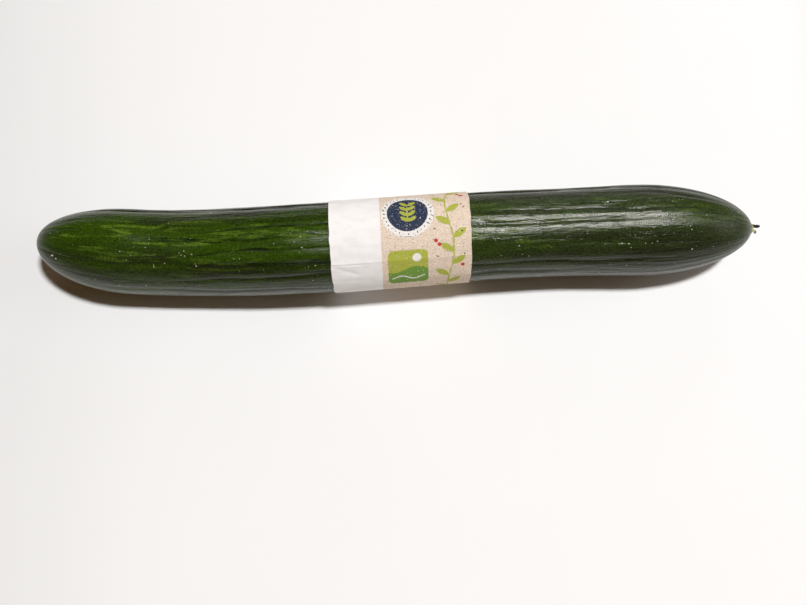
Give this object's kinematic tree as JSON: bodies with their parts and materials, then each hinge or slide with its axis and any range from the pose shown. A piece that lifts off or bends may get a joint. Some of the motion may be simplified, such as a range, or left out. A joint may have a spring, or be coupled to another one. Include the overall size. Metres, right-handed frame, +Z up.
{
  "type": "cucumber",
  "caption": "Long dark green slicing cucumber lying on its side, softly ribbed, one end rounded and one pointed with a torn stalk, in a printed paper sleeve round its middle.",
  "frame": {"origin": "on the surface that the cucumber lies on, under the middle of its bounding box", "axes": "+Z up; +X along the fruit from the rounded blossom end to the pointed stalk end; -Y is the side that the blossom half bows towards, and the side nearest the viewer in the picture"},
  "size_m": [0.3546, 0.0522, 0.0461],
  "materials": {
    "skin": "waxy dark green skin, satin, paler and yellower near the blossom end",
    "paper": "uncoated paper, matte, part white and part kraft brown",
    "stalk": "dry fibrous stalk, dull brown green"
  },
  "bodies": {
    "root": {"fruit": "skin", "paper_sleeve": "paper", "stalk_remnant": "stalk"}
  },
  "joints": []
}
